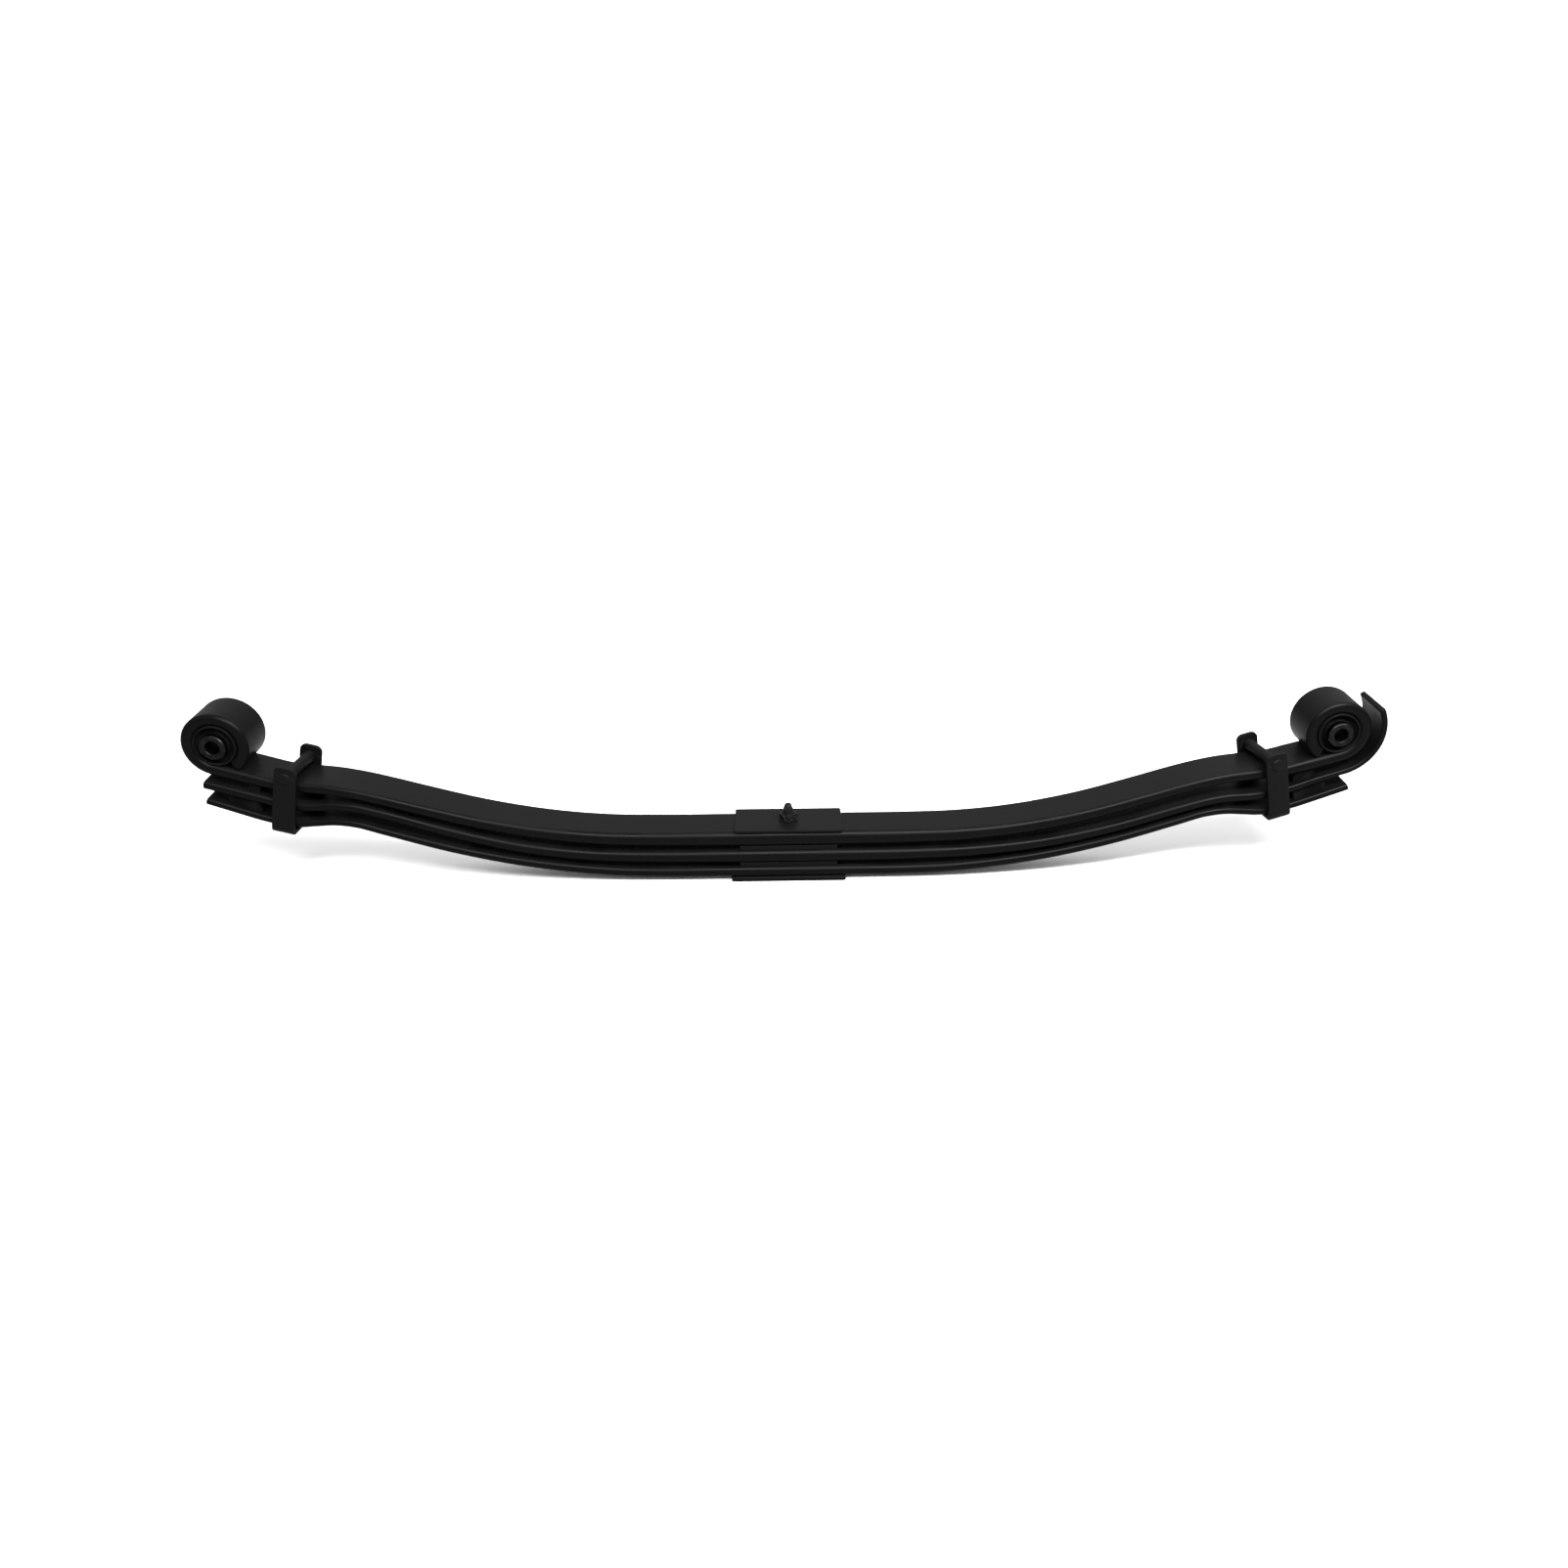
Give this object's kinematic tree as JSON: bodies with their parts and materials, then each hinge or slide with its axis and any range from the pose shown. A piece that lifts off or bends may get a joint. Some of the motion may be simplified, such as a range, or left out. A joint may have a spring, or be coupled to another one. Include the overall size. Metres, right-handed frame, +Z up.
{
  "type": "leaf spring",
  "caption": "Parabolic leaf spring with tapered leaves, a rubber-bushed eye at each end, a wrapped eye, rebound clips, and a centre bolt through steel pads.",
  "frame": {"origin": "centre bolt's axis at the underside of the bottom pad, which is the face that sits on the axle", "axes": "+X along the spring towards the eye that leaf 2 wraps, +Y across its width, +Z up towards the vehicle's frame"},
  "size_m": [1.7609, 0.1092, 0.2841],
  "materials": {
    "leaf_steel": "satin black paint",
    "pad_steel": "satin black paint",
    "fastener_steel": "satin black paint over steel",
    "sleeve_steel": "dark phosphated steel",
    "bush_rubber": "matte black rubber",
    "liner_plastic": "matte black plastic"
  },
  "bodies": {
    "centre": {"leaf_1_main": "leaf_steel", "leaf_2_wrapper": "leaf_steel", "leaf_3": "leaf_steel", "top_pad": "pad_steel", "bottom_pad": "pad_steel", "centre_spacer_upper": "pad_steel", "centre_spacer_lower": "pad_steel", "centre_bolt": "fastener_steel", "centre_washer": "fastener_steel", "centre_nut": "fastener_steel"},
    "left_end": {"left_clip_strap": "pad_steel", "left_clip_spacer_tube": "fastener_steel", "left_clip_bolt": "fastener_steel", "left_clip_nut": "fastener_steel", "left_clip_rivet": "fastener_steel", "left_bush_shell": "pad_steel", "left_bush_rubber": "bush_rubber", "left_liner_upper": "liner_plastic", "left_liner_lower": "liner_plastic"},
    "right_end": {"right_clip_strap": "pad_steel", "right_clip_spacer_tube": "fastener_steel", "right_clip_bolt": "fastener_steel", "right_clip_nut": "fastener_steel", "right_clip_rivet": "fastener_steel", "right_bush_shell": "pad_steel", "right_bush_rubber": "bush_rubber", "right_liner_upper": "liner_plastic", "right_liner_lower": "liner_plastic"},
    "left_sleeve": {"left_inner_sleeve": "sleeve_steel"},
    "right_sleeve": {"right_inner_sleeve": "sleeve_steel"}
  },
  "joints": [
    {"name": "left_flex", "type": "hinge", "parent": "centre", "child": "left_end", "pos_m": [-0.33, 0, 0.055], "axis": [0, -1, 0], "range_deg": [-2, 12], "stiffness_Nm_per_rad": 27000, "deforming": ["leaf_1_main", "leaf_2_wrapper", "leaf_3"]},
    {"name": "right_flex", "type": "hinge", "parent": "centre", "child": "right_end", "pos_m": [0.33, 0, 0.055], "axis": [0, 1, 0], "range_deg": [-2, 12], "stiffness_Nm_per_rad": 27000},
    {"name": "left_bush_twist", "type": "hinge", "parent": "left_end", "child": "left_sleeve", "pos_m": [-0.827, 0, 0.236], "axis": [0, 1, 0], "range_deg": [-20, 20], "stiffness_Nm_per_rad": 400},
    {"name": "right_bush_twist", "type": "hinge", "parent": "right_end", "child": "right_sleeve", "pos_m": [0.815, 0, 0.236], "axis": [0, 1, 0], "range_deg": [-20, 20], "stiffness_Nm_per_rad": 400}
  ]
}
